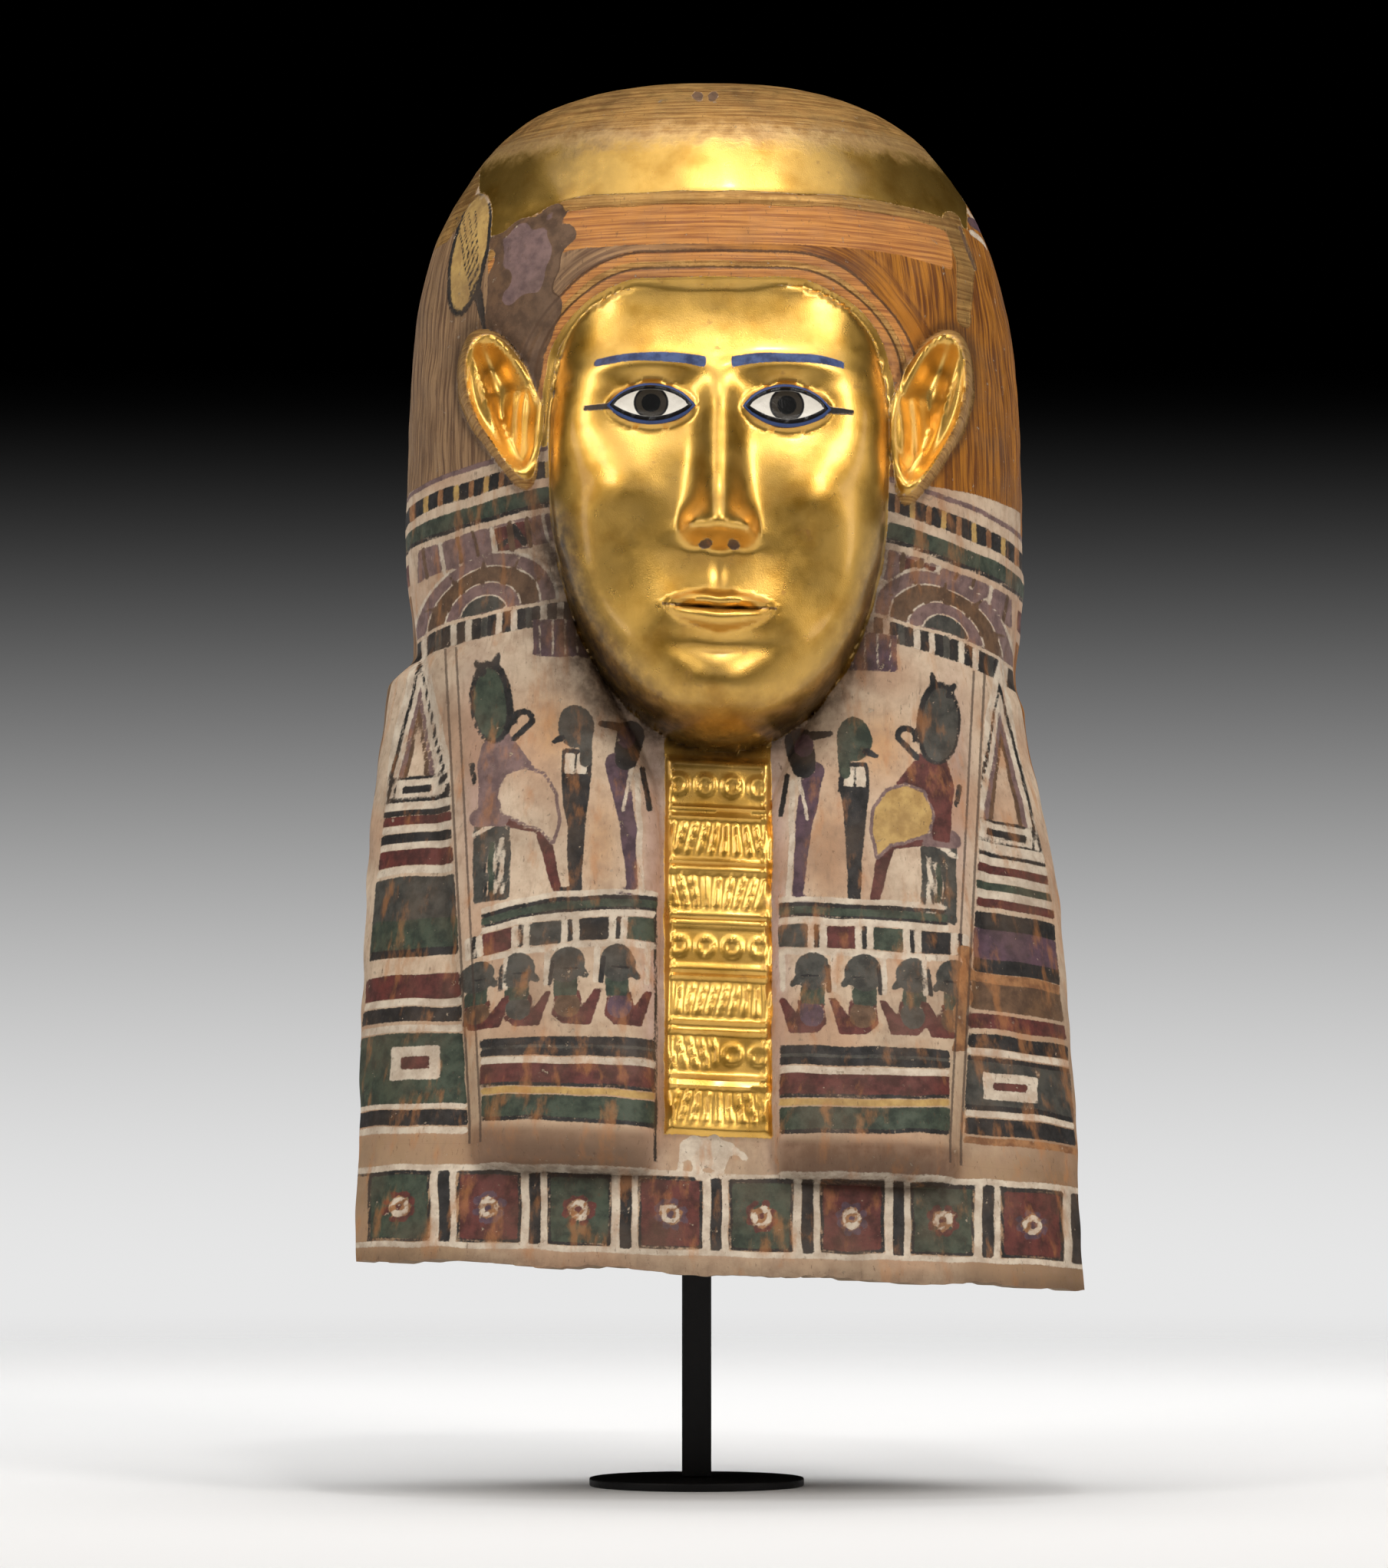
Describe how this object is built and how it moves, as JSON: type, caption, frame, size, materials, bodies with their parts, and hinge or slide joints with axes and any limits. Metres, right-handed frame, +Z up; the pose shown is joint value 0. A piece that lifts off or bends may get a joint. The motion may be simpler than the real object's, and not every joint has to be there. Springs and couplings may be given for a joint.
{
  "type": "egyptian mummy mask",
  "caption": "Gilded and painted cartonnage mummy mask with a striped wig, painted lappets and bib, leaning back on a slim black post with a round foot.",
  "frame": {"origin": "centre of the underside of the stand's round foot", "axes": "+Z up along the post, -Y the way the mask faces, +X to the viewer's right"},
  "size_m": [0.2997, 0.2615, 0.5888],
  "materials": {
    "cartonnage": "moulded linen and plaster, gilded face and wig front, painted lappets and bib, worn",
    "black_paint": "satin black",
    "dark_felt": "metal pad faced with thin dark felt"
  },
  "bodies": {
    "root": {"mask": "cartonnage", "stand_post": "black_paint", "stand_foot": "black_paint", "stand_rest": "dark_felt"}
  },
  "joints": []
}
